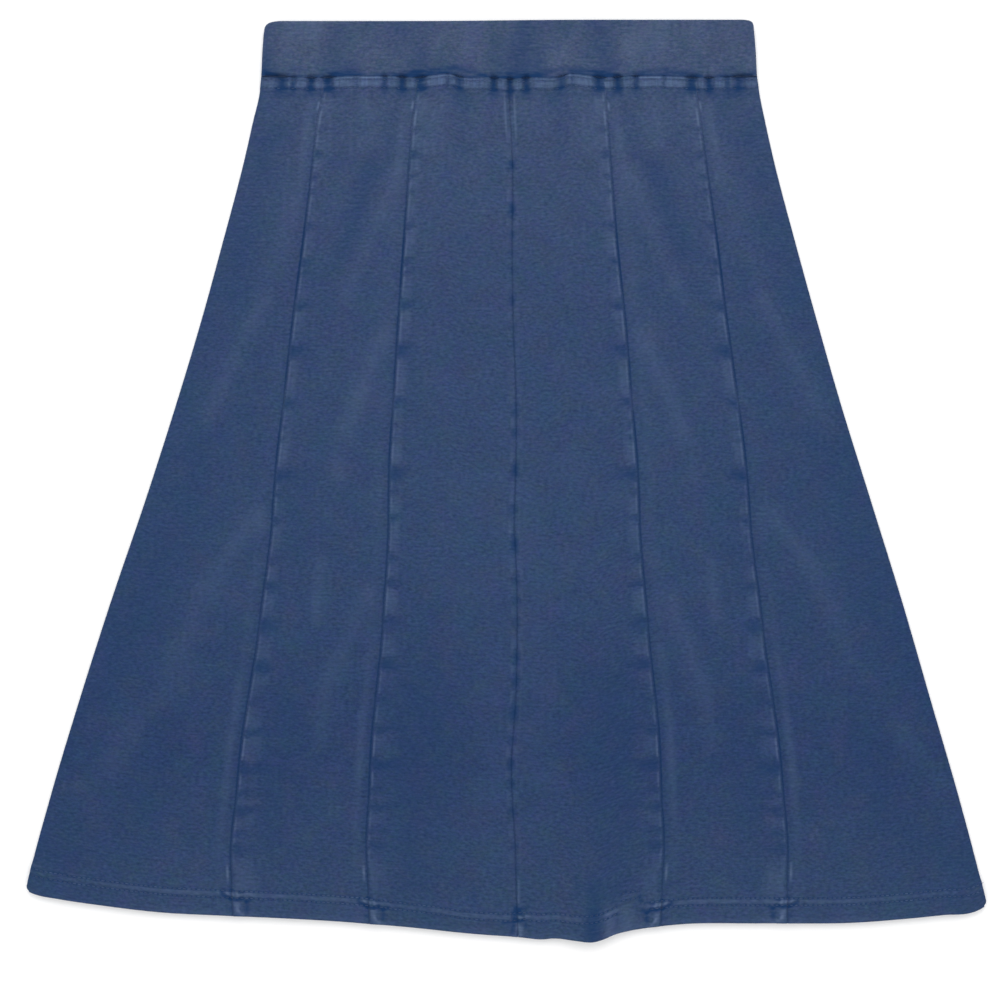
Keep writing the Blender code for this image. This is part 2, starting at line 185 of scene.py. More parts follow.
# Small dips along the centre seam. columns: drop, half length, strength
centreDips = metres(2, [
    (90.6, 3.6, 0.8), (118.8, 5, 1), (134.4, 3, 0.6), (145.6, 2.8, 0.4), (156.3, 2.8, 0.4),
    (175, 4, 0.7), (192.5, 3, 0.35), (203.1, 3, 0.35), (243.8, 4.4, 0.6), (258.1, 3.4, 0.7),
    (281.3, 5, 1), (306.3, 3.4, 0.6), (328.1, 6, 1), (350, 3.6, 0.6), (362.5, 3, 0.5),
    (376.9, 3.4, 0.5), (398.8, 4.4, 0.8), (412.5, 4.4, 0.8), (432.5, 5.6, 0.9), (450, 3.2, 0.5),
    (465, 4, 0.8), (477.5, 3, 0.7), (495, 4.4, 0.6), (516.3, 3.4, 0.4), (530.6, 3.4, 0.3),
])

# Soft folds of the front, alike on both halves, with painted highlight on their ridges and painted
# shade in their troughs. columns: distance from the centre seam and drop where one starts, the same
# where it ends, half width, height, painted light and shade from -1, darkest, to 1, lightest
folds = metres(6, [
    (119.7, 53.1, 155.9, 175, 9.5, 1, 0.16), (155.9, 175, 171.1, 203.1, 9, 1.2, 0.24),
    (171.1, 203.1, 193.3, 250, 11, 1, 0.24), (160.6, 309.4, 187.8, 343.8, 8.5, 1.2, 0.15),
    (187.8, 343.8, 212.8, 400, 13, 1.4, 0.15), (212.8, 400, 238, 438, 18, 1.5, 0.13),
    (238, 438, 272, 482, 23, 1.5, 0.2), (72.2, 93.8, 106.6, 175, 6.5, 0.9, 0.1),
    (80.4, 196.9, 105.8, 256.3, 7, 1, 0.15), (105.8, 256.3, 111.7, 284.4, 7, 0.6, 0.06),
    (94.1, 359.4, 118.9, 418.8, 7.5, 1, 0.1), (118.9, 418.8, 123.3, 453.1, 7, 0.8, 0.08),
    (122.1, 337.5, 124.7, 375, 5, 0.6, 0.12), (90.3, 46.9, 91.9, 81.3, 9, 0.9, 0.11),
    (49.6, 43.8, 50, 78.1, 9, 0.9, 0.1), (109.4, 53.1, 116.9, 81.3, 7, 0.7, 0.1),
    (0, 300, 0, 390, 48, 0.4, 0.04), (0, 425, 0, 470, 40, 0.6, 0.045),
    (87.8, 90.6, 105, 143.8, 9, -0.5, -0.3), (105, 143.8, 114.7, 168.8, 9, -0.3, -0.1),
    (70, 53.1, 79.4, 87.5, 5.5, -0.5, -0.14), (30.9, 50, 31.3, 81.3, 6, -0.5, -0.14),
    (135.6, 287.5, 135.8, 334.4, 15, -0.4, -0.12), (60.8, 418.8, 65, 537.5, 24, -0.5, -0.23),
    (143.8, 425, 152.5, 518.8, 18, -0.4, -0.14), (218.8, 446.9, 241.3, 518.8, 14, -0.4, -0.12),
    (151.3, 68.8, 176.9, 168.8, 10, -0.3, -0.1), (193.4, 262.5, 228.1, 356.3, 16, -0.3, -0.07),
    (228.1, 356.3, 253.1, 418.8, 16, -0.3, -0.07), (270, 520, 295, 520, 14, -0.2, -0.08),
])

# Pressed creases of the front, darkened with painted shade, and small puffs between them, lightened
# with painted highlight. columns: start x, start drop, end x, end drop, half width, depth, shade
creases = metres(6, [
    (-30.9, 533.8, -30.9, 550, 1.4, 0.3, -0.3), (-20.3, 536.3, -20, 556.9, 1.4, 0.3, -0.3),
    (44, 534.4, 44.5, 546.9, 2.2, 0.3, -0.3), (54.5, 542, 54.5, 576, 8.5, 0.3, -0.3),
    (54, 560, 54, 576, 10, 0.4, -0.36), (64, 556, 64, 573, 8, -0.3, 0.28),
    (75, 553, 75, 568, 9, -0.3, 0.24), (83, 547, 83.8, 550, 2.4, 0.3, -0.55),
    (7.5, 538, 7.5, 551.5, 1.4, -0.1, 0.24), (5.6, 555, 7.8, 556.6, 3, 0.4, -0.95),
    (7.8, 555.6, 13.4, 554.4, 1.9, 0.2, -0.5), (4.9, 557.8, 5.3, 561.8, 2.8, 0.4, -1),
    (7.8, 558.4, 10.6, 559.1, 1.6, 0.2, -0.8), (-2.8, 564.1, 4.7, 563.6, 1.4, 0.2, -0.65),
    (5.9, 563.1, 10.6, 562.2, 1.8, 0.3, -0.95), (8.4, 560.6, 9.7, 560.6, 2, -0.2, 0.42),
    (12.2, 560.3, 13.8, 560.3, 2, -0.2, 0.32), (7.2, 566.3, 8.9, 568.1, 3.2, -0.3, 0.48),
    (8.4, 571.1, 8.8, 571.7, 1.8, -0.2, 0.44), (4.3, 565.5, 3.6, 570, 2.2, 0.3, -0.8),
    (11.9, 563.8, 11.9, 566.9, 1.6, 0.2, -0.55), (2, 47, 2, 56, 3, 0.2, -0.25),
])

# The wave that stands at the hem. columns: as for the creases, with its height and no shade
hemWave = metres(6, [(48, 505, 53, 576, 14, 4.6)])


def ease(value, start=0.0, over=1.0):  # 0 up to the start, then up to 1 over a stretch
    value = np.clip((value - start) / over, 0.0, 1.0)
    return value * value * (3.0 - 2.0 * value)


def fade(value, start=0.0, over=1.0):  # 1 up to the start, then down to 0
    return 1.0 - ease(value, start, over)


def bump(distance, halfWidth):  # 1 in the middle, and 0 from the half width on
    away = np.minimum(np.abs(distance) / halfWidth, 1.0)
    return 0.5 * (1.0 + np.cos(np.pi * away))


def turnedEdge(distance, over, deep):  # how far an edge is rounded down
    inside = np.clip(1.0 - distance / over, 0.0, 1.0)
    return -deep * (1.0 - np.sqrt(1.0 - inside**2))


def through(rows, column, at):  # a smooth line through one column of a table
    table = np.array(rows)
    keys, values = table[:, 0], table[:, column]
    slopes = np.gradient(values, keys)
    at = np.clip(at, keys[0], keys[-1])
    near = np.clip(np.searchsorted(keys, at, side="right") - 1, 0, len(keys) - 2)
    span = keys[near + 1] - keys[near]
    t = (at - keys[near]) / span
    ahead = ease(t)
    leave = t * (1.0 - t) ** 2 * span * slopes[near]
    arrive = t * t * (t - 1.0) * span * slopes[near + 1]
    return values[near] * (1.0 - ahead) + values[near + 1] * ahead + leave + arrive


def seamLine(line, drop, side="front"):
    place = through(seamRows, line + 1, drop)
    if line == 3:
        place = place + through(centreWander, 1, drop)
    elif line in (1, 2, 4, 5):
        place = place + through(seamWander, 1, drop) * (1.0 if line > 3 else -1.0)
    if line in (0, 6):
        lastDrop = hemRows[0][1] if line == 0 else hemRows[-1][1]
        turned = np.clip(1.0 - (lastDrop - drop) / skirt["corner"], 0.0, 0.96)
        inwards = 0.8 * skirt["corner"] * (1.0 - np.sqrt(1.0 - turned**2))
        place = place + inwards * (1.0 if line == 0 else -1.0)
    elif side == "back":
        place = place + skirt["backSlip"]
    return place


def hemDrop(x):
    return through(hemRows, 1, x)


def waistDrop(x):
    return through(waistRows, 1, x)


def awayFrom(x, drop, startX, startDrop, endX, endDrop):  # distance to a short straight line
    runX, runDrop = endX - startX, endDrop - startDrop
    along = ((x - startX) * runX + (drop - startDrop) * runDrop) / (runX**2 + runDrop**2)
    along = np.clip(along, 0.0, 1.0)
    return np.hypot(x - startX - along * runX, drop - startDrop - along * runDrop)


def marked(rise, shade, rows, x, drop, way):  # adds short marks, up or down, and their shade
    for startX, startDrop, endX, endDrop, halfWidth, height, tone in rows:
        near = bump(awayFrom(x, drop, startX, startDrop, endX, endDrop), halfWidth)
        rise, shade = rise + way * height * near, shade + tone * near
    return rise, shade


def swell(x, drop, size, turn):  # slow uneven waves, between about -1 and 1
    total = np.zeros_like(x)
    for wave in range(6):
        angle = turn + 2.4 * wave
        pitch = size * (0.75 + 0.19 * wave)
        place = x * math.cos(angle) + drop * math.sin(angle)
        total += np.sin(2 * np.pi * place / pitch + turn * (wave + 1.7))
    return total / 3.5


# Gathers under the elastic and the topstitched strip of the waist seam
gathering = {
    "puff": 0.0008,
    "depth": 0.001,
    "reach": 0.024,
    "stripRise": 0.0007,
    "stripEnd": 0.0069,  # where the seam allowance under the cloth stops
    "stripEdge": 0.0014,  # over which it comes down again
    "shorter": 0.0012,  # by how much it stops sooner in a tuck
    "upperRow": 0.0021,  # below the band's edge
    "lowerRow": 0.0073,
    "groove": 0.00022,  # pressed along each row
    "sharper": 0.0005,  # how much deeper the tucks are across the strip
    "slant": 0.0004,  # how far a tuck leans to and fro on its way down
    "light": 0.52,
    "dark": 0.92,
    "swag": 0.5,  # how dark the painted shade stays where a tuck runs out just below the strip
    "glint": 0.8,  # how bright the painted highlight on the fold over the upper row is at most
    "shadowUnderBand": 0.5,  # how dark the painted shadow on the cloth right under the band is
}


def fromMiddle(x):
    return np.abs(x - skirt["middle"])


def valley(x, wider=1.0):  # how deep in a tuck a place is, from 0 to 1
    deepest = np.zeros_like(x)
    for middle, halfWidth, strength in tucks:
        away = np.abs(fromMiddle(x) - middle) / (halfWidth * wider + 0.0006)
        deepest = np.maximum(deepest, strength * fade(away, over=1.45))
    return deepest


def paled(x):  # how far on a puff it is
    most = np.zeros_like(x)
    for start, end, strength in puffs:
        inside = np.minimum(fromMiddle(x) - start, end - fromMiddle(x)) + 0.0005
        rounded = 0.72 * ease(inside, over=0.0016) + 0.28 * ease(inside, over=0.005)
        most = np.maximum(most, strength * rounded)
    return most


def waistStrip(x, below):  # rise and shade of the strip
    upper, lower = gathering["upperRow"], gathering["lowerRow"]
    slant = gathering["slant"] * np.sin(below / 0.0021 + x / 0.009)
    flared = 1.1 - 0.25 * bump(below - 0.0045, 0.003) + 0.35 * ease(below, 0.006, 0.003)
    tuck = valley(x + slant, flared)
    end = gathering["stripEnd"] - gathering["shorter"] * valley(x + slant, 1.5)
    end = end + 0.0003 * swell(x, below * 0.0, 0.011, 0.9)
    ended = ease(below, end, gathering["stripEdge"])
    raised = ease(below, -0.0008, 0.0014) - ended
    rise = raised * (gathering["stripRise"] - gathering["sharper"] * tuck)
    rise = rise - gathering["groove"] * (bump(below - upper, 0.0009) + bump(below - lower, 0.0009))

    block = 0.35 + 0.65 * ease(below, 0.0026, 0.0012)  # the wash is palest between the rows
    block = block * (1.0 - 0.3 * ease(below, 0.0048, 0.0026))
    block = block * (0.84 + 0.22 * swell(x, below * 2.0, 0.007, 4.1))
    onStrip = ease(below, over=0.0009) - ended
    swag = valley(x - slant, 1.9) * bump(below - 0.0092, 0.0052)
    within = ease(below, over=0.0009) * fade(below, 0.0064, 0.004)
    shade = onStrip * gathering["light"] * block * paled(x + slant) * (1.0 - tuck)
    # a tuck's swag below the strip is painted shade
    shade = shade - gathering["dark"] * within * tuck - gathering["swag"] * swag
    shade = shade - 0.42 * bump(below - lower, 0.001) - 0.2 * bump(below - upper, 0.0007)
    shade = shade - 0.1 * bump(below - 0.011, 0.006)
    # painted highlight where the fold over the upper row catches the light
    for start, end, strength in brightFolds:
        reached = ease(fromMiddle(x), start, 0.002) * ease(end - fromMiddle(x), over=0.002)
        shade = shade + gathering["glint"] * strength * reached * bump(below - 0.0012, 0.0008)
    # painted shadow on the cloth right under the band's edge
    shade = shade - gathering["shadowUnderBand"] * fade(below, over=0.0011)
    return rise, shade


# A gore seam: its allowance is pressed to one side and shows as a low puckered strip
goreSeam = {
    "ditch": 0.8,  # how dark the groove is at most, painted shade with deeper dye
    "ditchHalf": 0.0015,
    "ridge": 0.34,  # how worn it is at most
    "ridgeAt": 0.0019,
    "ridgeHalf": 0.0013,
    "stripRise": 0.0007,
    "stripEnd": 0.005,
    "pucker": 0.00045,
    "dark": 0.5,
    "light": 0.16,
    "reach": 0.04,  # how far beside a seam all this goes
    "sunk": 0.0002,  # how far every seam is pulled in, over the next width
    "sunkOver": 0.0008,
    "lowFrom": 0.34,  # below this the puckers and puffs reach further out
    "lowOver": 0.14,
    "stretch": {1: 0.997, 2: 1.002, 4: 1.002, 5: 0.997},  # of the puckers down each seam
}

# Where the front meets the back at the sides
sideSeam = {
    "roundOver": 0.0011,
    "roundDeep": 0.0009,
    "shade": 0.19,  # darker towards the sides
    "shadeReach": 0.09,
    # painted shade along the rounded side edge
    "line": 0.12,
    "lineReach": 0.0015,
}


def dips(rows, drop):
    deepest = np.zeros_like(drop)
    for middle, halfLength, strength in rows:
        deepest = np.maximum(deepest, strength * bump(drop - middle, 1.6 * halfLength))
    return deepest


def lowDown(drop):  # 0 in the upper skirt and 1 towards the hem
    return ease(drop, goreSeam["lowFrom"], goreSeam["lowOver"])


def pulledIn(distance):
    return goreSeam["sunk"] * fade(distance, over=goreSeam["sunkOver"])


def puckered(distance, drop):
    deepest = np.zeros_like(drop)
    for middle, halfLength, reach, strength in puckers:
        reach = reach * (1.0 + 0.9 * lowDown(middle))
        tapered = halfLength * (1.25 - 0.45 * np.clip(distance / reach, 0.0, 1.0))
        across = ease(distance, 0.0004, 0.0016) * fade(distance, 0.25 * reach, 0.9 * reach)
        deepest = np.maximum(deepest, strength * across * bump(drop - middle, tapered))
    return deepest


def allowanceSide(distance, drop, stretch):  # the side with the allowance, towards the middle
    ditch, wornAndLit = through(seamWear, 1, drop), through(seamWear, 2, drop)
    wobble = 0.0009 * np.sin(drop / 0.0043 + distance / 0.0022) + 0.0006 * np.sin(drop / 0.0017)
    dip = puckered(distance, drop * stretch + wobble)
    strip = ease(distance, over=0.001) - ease(distance, goreSeam["stripEnd"], 0.0035)
    ridge = bump(distance - goreSeam["ridgeAt"], goreSeam["ridgeHalf"]) * wornAndLit
    wide = 1.0 + 1.1 * lowDown(drop)
    puff = ease(distance, 0.0015, 0.002) * fade(distance, 0.005 * wide, 0.0045 * wide)
    puff = puff * (0.75 + 0.35 * np.sin(drop / 0.0071 + 1.3))
    flatter = 0.4 + 0.6 * ease(drop, 0.06, 0.05)  # towards the waist
    rise = goreSeam["stripRise"] * flatter * strip + 0.00018 * ridge - goreSeam["pucker"] * dip
    rise = rise - flatter * pulledIn(distance)
    shade = goreSeam["ridge"] * ridge * (1.0 - 0.75 * dip) + goreSeam["light"] * puff * (1.0 - dip)
    shade = shade - goreSeam["dark"] * dip
    # the ditch darkens the groove with painted shade and deeper dye
    return rise, shade - goreSeam["ditch"] * ditch * bump(distance, goreSeam["ditchHalf"])


def plainSide(distance, drop):  # the side that folds under the seam
    soft = 0.4 + bump(drop - 0.072, 0.035) + bump(drop - 0.456, 0.08)
    stripe = bump(distance - 0.0065, 0.0055) * soft
    crossed = bump(drop - 0.054, 0.0042) * bump(distance - 0.0009, 0.0013)  # ridges that change sides
    crossed = crossed + 0.8 * bump(drop - 0.533, 0.009) * bump(distance - 0.0022, 0.0014)
    rise = 0.0003 * stripe + 0.00018 * crossed - pulledIn(distance)
    shade = 0.11 * stripe + 0.75 * crossed
    ditch = through(seamWear, 1, drop)
    # the ditch darkens the groove with painted shade and deeper dye
    return rise, shade - goreSeam["ditch"] * ditch * bump(distance, 0.8 * goreSeam["ditchHalf"])


def centreSide(distance, drop, left):  # the centre seam, pressed open
    strip = ease(distance, over=0.0009) - ease(distance, 0.003, 0.0014)
    twin = bump(distance - 0.003, 0.0012) * ease(drop, 0.04, 0.005) * fade(drop, 0.066, 0.012)
    dip = dips(centreDips, drop) * (bump(distance, 0.0046) if left else bump(distance, 0.0032))
    line = ease(drop, 0.08, 0.015) * bump(distance, 0.0011)
    glint = dips(centreDips, drop + 0.0068) * bump(distance - 0.0028, 0.0018) * (1.0 if left else 0.2)
    rise = 0.0003 * strip + 0.0002 * twin - 0.0003 * dip - pulledIn(distance)
    shade = 0.4 * twin + 0.05 * strip + 0.16 * glint - 0.95 * dip - 0.22 * line
    return rise, shade


def sideEdge(distance):
    rise = turnedEdge(distance, sideSeam["roundOver"], sideSeam["roundDeep"])
    shade = -sideSeam["shade"] * fade(distance, over=sideSeam["shadeReach"])
    # painted shade on the side edge where it rounds down
    return rise, shade - sideSeam["line"] * fade(distance, over=sideSeam["lineReach"])


def seamForms(x, drop, side):  # all that the seams add to the outer face, and its shade
    rise, shade = np.zeros_like(x), np.zeros_like(x)
    for line in range(7):
        offset = x - seamLine(line, drop, side)
        for way in (-1, 1):
            distance = np.abs(offset) - skirt["seamGap"] / 2
            reach = sideSeam["shadeReach"] if line in (0, 6) else goreSeam["reach"]
            here = (offset * way > 0) & (distance < reach)
            if not here.any():
                continue
            distance = np.maximum(distance[here], 0.0)
            if line in (0, 6):
                added = sideEdge(distance)
            elif line == 3:
                added = centreSide(distance, drop[here], way < 0)
            elif (way > 0) == (line < 3):
                added = allowanceSide(distance, drop[here], goreSeam["stretch"][line])
            else:
                added = plainSide(distance, drop[here])
            rise[here] += added[0]
            shade[here] += added[1]
    return rise, shade


def seamsOnStrip(x, drop):  # worn ridges where the front's seams lie under the strip
    wornAndLit = np.zeros_like(x)
    for line in (1, 2, 4, 5):
        wornAndLit = np.maximum(wornAndLit, bump(x - seamLine(line, drop), 0.0011))
    return wornAndLit


# Twin rows of coverstitch at the hem, and the lumps where seams cross it
hem = {
    "lowerRow": 0.0115,  # above the edge
    "upperRow": 0.0159,
    "roundOver": 0.0011,
    "roundDeep": 0.0009,
    "turnUpEdge": 0.0025,  # over which the turned-up layer comes to its height
    "groove": 0.00018,  # pressed along each row
    "grooveHalf": 0.0011,
    "rope": 0.0001,  # slanting waves of the twisted turn-up
    "ropePitch": 0.0066,
    "ropeReach": 0.006,
    "lump": 0.0005,
    "lumpReach": 0.02,  # to each side of a seam
    "lumpHeight": 0.03,  # above the edge
}

# How far the rows climb where the cloth folds over. columns: x, climb
rowClimb = metres(2, [
    (-90, 0), (-66.6, -1), (-41.6, -1.4), (-29, -2.2), (0, -2), (11, 0), (45, -0.4), (53, 0.8),
    (60, 0.6), (70, 1), (70.8, 8.2), (83.5, 7.8), (85, 0),
])

# Pressed marks where a gore seam crosses the hem, on the right half; the left half mirrors them.
# The dips carry painted shade and the lumps painted highlight. columns: start x from the seam,
# start above the edge, end x, end above, half width, rise, shade
crossingMarks = metres(6, [
    (-11.8, 11.2, -9, 9.4, 2, -0.3, -0.85), (-9, 9.4, -6, 11.2, 1.8, -0.35, -0.7),
    (-6.6, 11.8, -3.8, 10.6, 1.8, -0.3, -0.95), (-2.6, 10.4, 1, 11, 1.8, -0.35, -0.95),
    (1, 11, 6, 13.4, 2, -0.3, -0.9), (-7, 15.2, -5, 15, 1.4, -0.2, -0.65),
    (-0.8, 16.4, 1, 16, 1.6, -0.2, -0.7), (5.2, 15.8, 6.2, 15, 1.4, -0.2, -0.65),
    (-4, 13.2, -3.6, 13.9, 1.9, 0.2, 0.48), (-1, 13.6, -0.6, 14.1, 1.6, 0.2, 0.5),
    (2.4, 14.1, 2.8, 14.4, 1.7, 0.2, 0.52), (-2.4, 8.4, -3.4, 4.4, 3.6, 0.3, 0.42),
    (-6, 1.9, -4, 4.5, 2.2, 0.2, 0.36), (-9.2, 6.4, -8.8, 4.4, 2.6, -0.3, -0.7),
    (-4.8, 5, -5.6, 3.4, 1.4, -0.1, -0.5), (1.2, 5.6, 1.8, 4.8, 2.2, -0.1, -0.35),
])

hemSamples = np.linspace(hemRows[0][0], hemRows[-1][0], 4000)
hemSteps = np.hypot(np.diff(hemSamples), np.diff(hemDrop(hemSamples)))
hemRuns = np.concatenate([[0.0], np.cumsum(hemSteps)])


def hemRun(x):
    return np.interp(x, hemSamples, hemRuns)


def climb(x):
    return np.interp(x, [row[0] for row in rowClimb], [row[1] for row in rowClimb])


def turnUpRise(above):  # the hem's folded layer lifts what lies on it
    return skirt["cloth"] * fade(above, skirt["turnUp"], hem["turnUpEdge"])


def hemForms(x, drop, side):
    above = hemDrop(x) - drop
    fromRows = above - climb(x)
    rise = turnedEdge(above, hem["roundOver"], hem["roundDeep"]) + turnUpRise(above)
    middle = (hem["lowerRow"] + hem["upperRow"]) / 2
    grooves = sum(bump(fromRows - hem[row], hem["grooveHalf"]) for row in ("lowerRow", "upperRow"))
    between = bump(fromRows - middle - 0.0003, 0.0027)
    roping = np.sin(2 * np.pi * (hemRun(x) + 0.8 * above) / hem["ropePitch"])
    nearRows = bump(fromRows - middle, hem["ropeReach"])
    rise = rise - hem["groove"] * grooves + 0.00012 * between + hem["rope"] * roping * nearRows
    shade = 0.2 * between - 0.36 * grooves + 0.05 * roping * nearRows
    # lighter just above the lower edge, and painted shade where the edge rounds down
    shade = shade + 0.09 * fade(above, 0.002, 0.003) - 0.15 * fade(above, over=0.001)
    for line in (1, 2, 4, 5):
        offset = (x - seamLine(line, drop, side)) * (1.0 if line > 3 else -1.0)
        near = (np.abs(offset) < hem["lumpReach"]) & (above < hem["lumpHeight"])
        if not near.any():
            continue
        offset, height = offset[near], above[near]
        rise[near] += hem["lump"] * (bump(offset, 0.01) * fade(height, 0.015, 0.006))
        # the marks' painted shade and painted highlight
        rise[near], shade[near] = marked(rise[near], shade[near], crossingMarks, offset, height, 1.0)
    return rise, shade


def softFolds(x, drop):  # lift, and painted light and shade, of the soft folds
    fromCentre = np.abs(x - through(seamRows, 4, drop))
    lift, dent = np.zeros_like(x), np.zeros_like(x)
    wornAndLit, troughShade = np.zeros_like(x), np.zeros_like(x)
    for startX, startDrop, endX, endDrop, halfWidth, height, tone in folds:
        away = awayFrom(fromCentre, drop, startX, startDrop, endX, endDrop)
        share = np.exp(-1.4 * (away / halfWidth) ** 2)
        if height > 0:
            lift, wornAndLit = np.maximum(lift, height * share), np.maximum(wornAndLit, tone * share)
        else:
            dent, troughShade = np.minimum(dent, height * share), np.minimum(troughShade, tone * share)
    *ends, halfWidth, height = hemWave[0]
    lift = np.maximum(lift, height * np.exp(-((awayFrom(x, drop, *ends) / halfWidth) ** 2)))
    return lift + dent, wornAndLit + troughShade


def sewnForms(rise, shade, x, drop, side):  # adds the waist strip and the hem
    for added in (waistStrip(x, drop - waistDrop(x)), hemForms(x, drop, side)):
        rise, shade = rise + added[0], shade + added[1]
    return rise, shade


def frontForm(x, drop):  # underside, outer face and shade of the front
    below = drop - waistDrop(x)
    above = hemDrop(x) - drop
    side = np.minimum(x - seamLine(0, drop), seamLine(6, drop) - x)
    overTurnUp = fade(above, skirt["hemLiftEnd"], skirt["hemLiftStart"] - skirt["hemLiftEnd"])
    folded, foldShade = softFolds(x, drop)
    gathers = gathering["puff"] - (gathering["puff"] + gathering["depth"]) * valley(x, 1.3)
    lift = skirt["loft"] + skirt["waistLift"] * fade(below, over=skirt["waistReach"])
    lift = lift + gathers * fade(below, over=gathering["reach"]) + folded
    lift = lift + skirt["swell"] * swell(x, drop, 0.055, 0.6)
    under = skirt["cloth"] * (1.0 + overTurnUp) + skirt["layerGap"]
    under = under + ease(side, over=skirt["loftReach"]) * lift

    rise, shade = seamForms(x, drop, "front")
    belowStrip = ease(below, 0.0065, 0.005)  # the strip lies over the gore seams
    rise, shade = rise * (0.35 + 0.65 * belowStrip), shade * belowStrip
    onStrip = ease(below, 0.0022, 0.001) * fade(below, 0.009, 0.003)
    rise, shade = sewnForms(rise, shade, x, drop, "front")
    shade = shade + 0.55 * onStrip * seamsOnStrip(x, drop)
    # the creases' painted shade and the puffs' painted highlight
    rise, shade = marked(rise, shade, creases, x, drop, -1.0)
    # the soft folds' painted highlight and painted shade
    shade = shade + foldShade + 0.025 * swell(x, drop, 0.034, 2.1)
    return under, under + skirt["cloth"] + rise, shade


# The back's marks are pressed up into it, because it lies flat
backPressed = {
    "share": 0.6,
    "most": 0.0005,
    "tuck": 0.00045,
    "inAll": 0.0007,
}


def backForm(x, drop):  # inner face, how far the outer face is pressed up, and shade
    drop = drop + skirt["backHemShort"] * ease(drop, 0.5, 0.03)
    rise, shade = sewnForms(*seamForms(x, drop, "back"), x, drop, "back")
    turned = turnUpRise(hemDrop(x) - drop)
    tuck = backPressed["tuck"] * valley(x) * fade(drop - waistDrop(x), over=gathering["reach"])
    pressed = np.clip(-backPressed["share"] * (rise - turned), 0.0, backPressed["most"]) + tuck
    return skirt["cloth"] + turned, np.minimum(pressed, backPressed["inAll"]), shade


# How finely a gore's grid is cut, from each edge inwards
goreGrids = {
    "front": {"sides": (0.012, 0.00025, 17), "ends": (0.026, 0.0003, 46), "columns": 34, "rows": 280},
    "back": {"sides": (0.01, 0.0004, 10), "ends": (0.024, 0.0005, 26), "columns": 14, "rows": 110},
}


def edgeSteps(reach, finest, count):  # places from an edge inwards, closest at the edge
    share = np.linspace(0.0, 1.0, count + 1)
    start = finest * count / reach
    return reach * (start * share + (1.0 - start) * share**2)


def spread(steps, cells):  # for each line of a grid: fixed distance, and share of the whole
    reach = steps[-1]
    even = np.linspace(0.0, 1.0, cells + 1)[1:-1]
    fixed = np.concatenate([steps, reach * (1.0 - 2.0 * even), -steps[::-1]])
    share = np.concatenate([np.zeros(len(steps)), even, np.ones(len(steps))])
    return fixed, share


def countedGrid(columns, rows, way):  # one cell is 1 long, and rows count up or down
    mesh = bmesh.new()
    bmesh.ops.create_grid(mesh, x_segments=columns, y_segments=rows, size=0.5)
    bmesh.ops.translate(mesh, vec=(0.5, 0.5 * way, 0.0), verts=mesh.verts)
    bmesh.ops.scale(mesh, vec=(columns, rows, 1.0), verts=mesh.verts)
    return mesh


def slab(columns, rows):  # two layers of a grid, closed round the edge
    mesh = countedGrid(columns, rows, -1.0)
    raised = bmesh.ops.extrude_face_region(mesh, geom=mesh.faces[:])
    upper = [item for item in raised["geom"] if isinstance(item, bmesh.types.BMVert)]
    bmesh.ops.translate(mesh, vec=(0.0, 0.0, 1.0), verts=upper)
    bmesh.ops.recalc_face_normals(mesh, faces=mesh.faces[:])
    return mesh


def newPiece(name, mesh):
    data = bpy.data.meshes.new(name)
    mesh.to_mesh(data)
    mesh.free()
    piece = bpy.data.objects.new(name, data)
    bpy.context.scene.collection.objects.link(piece)
    return piece


def readPlaces(piece):
    flat = np.empty(len(piece.data.vertices) * 3)
    piece.data.vertices.foreach_get("co", flat)
    return flat.reshape(-1, 3)


def writePlaces(piece, places):
    piece.data.vertices.foreach_set("co", places.astype(np.float32).ravel())
    piece.data.update()


def writeMarks(piece, shade, grain, sewing):  # what the cloth's material reads
    for name, values in (("shade", shade), ("grain", grain), ("sewing", sewing)):
        kind, field = ("FLOAT", "value") if values.ndim == 1 else ("FLOAT_VECTOR", "vector")
        layer = piece.data.attributes.new(name, kind, "POINT")
        layer.data.foreach_set(field, values.astype(np.float32).ravel())


def finishPiece(piece, material, sharp=55.0):
    piece.data.materials.append(material)
    piece.data.shade_smooth()
    piece.data.set_sharp_from_angle(angle=math.radians(sharp))
    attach(piece, "root")


def gore(side, line, material):
    grid = goreGrids[side]
    front = side == "front"
    sideSteps, endSteps = edgeSteps(*grid["sides"]), edgeSteps(*grid["ends"])
    fixedAcross, shareAcross = spread(sideSteps, grid["columns"])
    fixedDown, shareDown = spread(endSteps, grid["rows"])
    piece = newPiece(f"{side}GoreCloth{line + 1}", slab(len(fixedAcross) - 1, len(fixedDown) - 1))

    places = readPlaces(piece)
    column = np.rint(places[:, 0]).astype(int)
    row = np.rint(-places[:, 1]).astype(int)
    upper = places[:, 2] > 0.5
    drop = np.full(len(places), skirt["length"] / 2)
    for _ in range(6):  # the ends are curved, so the place settles in a few rounds
        left = seamLine(line, drop, side) + skirt["seamGap"] / 2
        right = seamLine(line + 1, drop, side) - skirt["seamGap"] / 2
        x = left + fixedAcross[column] + shareAcross[column] * (right - left)
        start = waistDrop(x) + skirt["seamGap"]
        end = hemDrop(x) - (0.0 if front else skirt["backHemShort"])
        drop = start + fixedDown[row] + shareDown[row] * (end - start)
    if front:
        lower, outer, shade = frontForm(x, drop)
        height = np.where(upper, outer, lower)
    else:
        inner, outer, shade = backForm(x, drop)
        height = np.where(upper, inner, outer)
    writePlaces(piece, np.stack([x, topLine - drop, height], axis=1))

    along = skirt["patternLength"] * (drop - start) / (end - start)
    part = 0.1 * line + (0.0 if front else 1.0)  # each gore has its own part of the pattern
    grain = np.stack([x, along, np.full(len(x), part)], axis=1)
    above = hemDrop(x) - drop - climb(x)
    sewing = np.stack([hemRun(x), above, drop - waistDrop(x)], axis=1)
    writeMarks(piece, shade, grain, sewing)

    finishPiece(piece, material)
    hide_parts(f"{side}_gore_{line + 1}")


